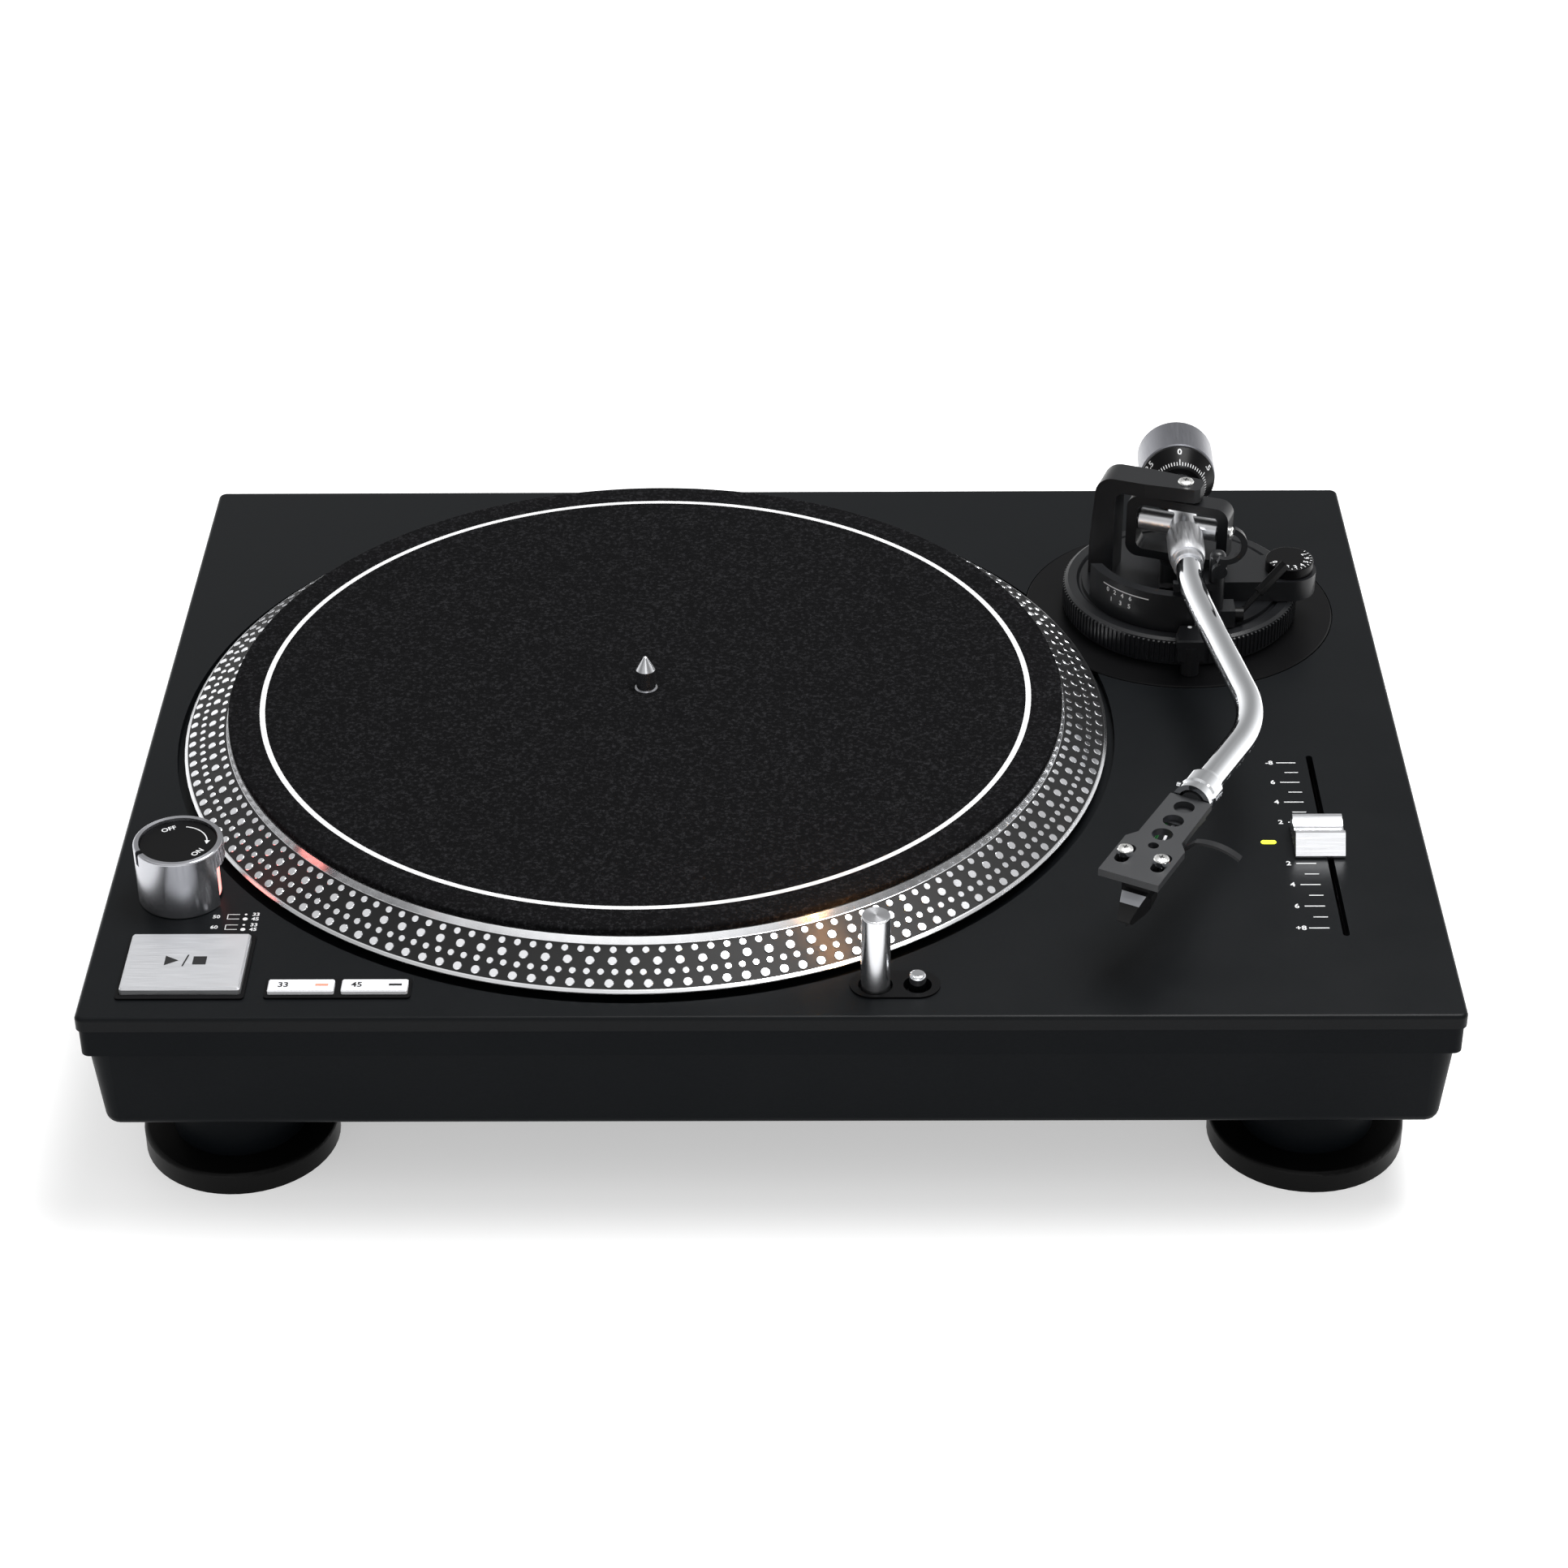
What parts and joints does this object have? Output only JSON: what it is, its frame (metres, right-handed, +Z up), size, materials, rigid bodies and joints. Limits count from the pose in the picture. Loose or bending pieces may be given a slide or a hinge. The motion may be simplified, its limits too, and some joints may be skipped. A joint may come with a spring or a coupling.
{
  "type": "turntable record player",
  "caption": "Direct-drive record player with a slip mat on a dotted strobe platter, an S-shaped tonearm in a gimbal, a pop-up target light, a pitch fader and four round feet.",
  "frame": {"origin": "on the floor under the middle of the deck", "axes": "+Z up, +X to the right and +Y to the back, seen from the front"},
  "size_m": [0.45, 0.352, 0.1364],
  "materials": {
    "deck_paint": "fine matte texture",
    "case_plastic": "matte",
    "black_satin": "satin",
    "black_plastic": "matte",
    "foot_rubber": "satin",
    "cast_aluminium": "turned",
    "satin_aluminium": "satin",
    "chrome": "polished",
    "steel": "bright",
    "brass": "plain",
    "magnet": "plain",
    "copper": "enamelled",
    "board": "solder resist",
    "felt": "felt",
    "red_lens": "clear tinted",
    "lamp_lens": "clear tinted",
    "green_lens": "clear tinted",
    "silver_plastic": "silver satin",
    "wire": "sleeved"
  },
  "bodies": {
    "chassis": {"deck_plate": "deck_paint", "plinth_band": "case_plastic", "base_tub": "case_plastic", "case_screws": "steel", "foot_housings": "black_plastic", "foot_pads": "foot_rubber", "motor_board": "board", "stator_coils": "copper", "bearing_housing": "cast_aluminium", "bearing_bush": "brass", "main_board": "board", "power_transformer": "cast_aluminium", "mains_inlet": "black_plastic", "phono_jacks": "satin_aluminium", "strobe_tower": "black_plastic", "strobe_lens": "red_lens", "power_switch": "black_plastic", "start_stop_bezel": "black_plastic", "speed_bezel": "black_plastic", "light_bezel": "black_plastic", "fader_body": "black_plastic", "pitch_lamp": "green_lens", "arm_board": "deck_paint"},
    "platter_set": {"platter": "cast_aluminium", "rotor_magnet": "magnet", "spindle": "steel"},
    "mat": {"slipmat": "felt"},
    "knob": {"power_knob": "satin_aluminium"},
    "start_stop": {"start_stop_button": "satin_aluminium"},
    "speed_33": {"speed_button_33": "silver_plastic"},
    "speed_45": {"speed_button_45": "silver_plastic"},
    "light": {"target_light": "satin_aluminium", "light_lens": "lamp_lens"},
    "light_release": {"light_button": "satin_aluminium"},
    "fader": {"fader_knob": "satin_aluminium"},
    "ground": {"ground_terminal": "satin_aluminium"},
    "height_adjuster": {"height_ring": "black_satin"},
    "arm_mount": {"arm_base": "black_satin", "gimbal_yoke": "black_satin", "pivot_screws": "steel", "arm_rest": "black_satin"},
    "gimbal": {"gimbal_ring": "black_satin", "side_pivot_screws": "steel"},
    "tonearm": {"arm_hub": "satin_aluminium", "arm_tube": "chrome", "headshell": "black_satin", "finger_lift": "black_satin", "cartridge": "black_plastic", "stylus": "black_plastic", "cartridge_screws": "steel", "headshell_leads": "wire"},
    "collar": {"locking_collar": "chrome"},
    "sleeve": {"weight_sleeve": "satin_aluminium"},
    "weight": {"counterweight": "steel"},
    "force_dial": {"weight_dial": "black_plastic"},
    "skate_dial": {"anti_skate_dial": "black_plastic"},
    "clip": {"arm_clip": "black_satin"},
    "lock": {"height_lock_lever": "black_satin"},
    "cue": {"cue_lever": "black_plastic"},
    "lifter": {"cue_platform": "black_plastic"}
  },
  "joints": [
    {"name": "platter_spin", "type": "hinge", "parent": "chassis", "child": "platter_set", "pos_m": [-0.046, 0.001, 0.09], "axis": [0, 0, 1], "continuous": true},
    {"name": "mat_slip", "type": "hinge", "parent": "platter_set", "child": "mat", "pos_m": [-0.046, 0.001, 0.094], "axis": [0, 0, 1], "continuous": true},
    {"name": "power_turn", "type": "hinge", "parent": "chassis", "child": "knob", "pos_m": [-0.199, -0.1055, 0.09], "axis": [0, 0, 1], "range_deg": [0, 45]},
    {"name": "start_stop_press", "type": "slide", "parent": "chassis", "child": "start_stop", "axis": [0, 0, -1], "range_m": [0, 0.0015], "stiffness_N_per_m": 400, "springref_m": -0.002},
    {"name": "speed_33_press", "type": "slide", "parent": "chassis", "child": "speed_33", "axis": [0, 0, -1], "range_m": [0, 0.0015], "stiffness_N_per_m": 300, "springref_m": -0.002},
    {"name": "speed_45_press", "type": "slide", "parent": "chassis", "child": "speed_45", "axis": [0, 0, -1], "range_m": [0, 0.0015], "stiffness_N_per_m": 300, "springref_m": -0.002},
    {"name": "target_light_slide", "type": "slide", "parent": "chassis", "child": "light", "axis": [0, 0, -1], "range_m": [0, 0.026], "stiffness_N_per_m": 60, "springref_m": -0.01},
    {"name": "light_button_press", "type": "slide", "parent": "chassis", "child": "light_release", "axis": [0, 0, -1], "range_m": [0, 0.0015], "stiffness_N_per_m": 300, "springref_m": -0.002},
    {"name": "pitch_slide", "type": "slide", "parent": "chassis", "child": "fader", "axis": [0, 1, 0], "range_m": [-0.05, 0.05]},
    {"name": "ground_turn", "type": "hinge", "parent": "chassis", "child": "ground", "pos_m": [0.17, 0.165, 0.04825], "axis": [0, 1, 0], "range_deg": [-180, 180]},
    {"name": "height_turn", "type": "hinge", "parent": "chassis", "child": "height_adjuster", "pos_m": [0.1534, 0.0824, 0.086], "axis": [0, 0, 1], "range_deg": [0, 302]},
    {"name": "arm_height", "type": "slide", "parent": "chassis", "child": "arm_mount", "axis": [0, 0, 1], "range_m": [0, 0.006]},
    {"name": "arm_swing", "type": "hinge", "parent": "arm_mount", "child": "gimbal", "pos_m": [0.1534, 0.0824, 0.116], "axis": [0, 0, -1], "range_deg": [0, 46]},
    {"name": "arm_lift", "type": "hinge", "parent": "gimbal", "child": "tonearm", "pos_m": [0.1534, 0.0824, 0.116], "axis": [-0.9397, 0.342, 0], "range_deg": [-0.4, 10]},
    {"name": "collar_turn", "type": "hinge", "parent": "tonearm", "child": "collar", "pos_m": [0.13956, -0.10607, 0.116], "axis": [-0.4695, -0.8829, 0], "range_deg": [0, 40]},
    {"name": "counterweight_turn", "type": "hinge", "parent": "sleeve", "child": "weight", "pos_m": [0.1534, 0.0824, 0.116], "axis": [-0.0262, -0.9997, 0], "range_deg": [-360, 360]},
    {"name": "weight_travel", "type": "slide", "parent": "tonearm", "child": "sleeve", "axis": [-0.0262, -0.9997, 0], "range_m": [-0.0041, 0.0041]},
    {"name": "dial_turn", "type": "hinge", "parent": "weight", "child": "force_dial", "pos_m": [0.1534, 0.0824, 0.116], "axis": [-0.0262, -0.9997, 0], "continuous": true},
    {"name": "anti_skate_turn", "type": "hinge", "parent": "arm_mount", "child": "skate_dial", "pos_m": [0.1934, 0.0761, 0.102], "axis": [0, 0, -1], "range_deg": [0, 270]},
    {"name": "clip_swing", "type": "hinge", "parent": "arm_mount", "child": "clip", "pos_m": [0.1632, 0.045, 0.1184], "axis": [0, -1, 0], "range_deg": [0, 112]},
    {"name": "lock_lever_swing", "type": "hinge", "parent": "chassis", "child": "lock", "pos_m": [0.1534, 0.0345, 0.09], "axis": [0, 0, 1], "range_deg": [0, 45]},
    {"name": "cue_lever_turn", "type": "hinge", "parent": "arm_mount", "child": "cue", "pos_m": [0.1708, 0.0514, 0.0954], "axis": [1, 0, 0], "range_deg": [0, 56]},
    {"name": "cue_platform_lift", "type": "slide", "parent": "arm_mount", "child": "lifter", "axis": [0, 0, 1], "range_m": [0, 0.003]}
  ],
  "couplings": [
    {"joint": "height_turn", "follows": "arm_height", "rad_per_m": 872.66},
    {"joint": "weight_travel", "follows": "counterweight_turn", "m_per_rad": 0.00063662},
    {"joint": "cue_lever_turn", "follows": "cue_platform_lift", "rad_per_m": 319.98}
  ]
}
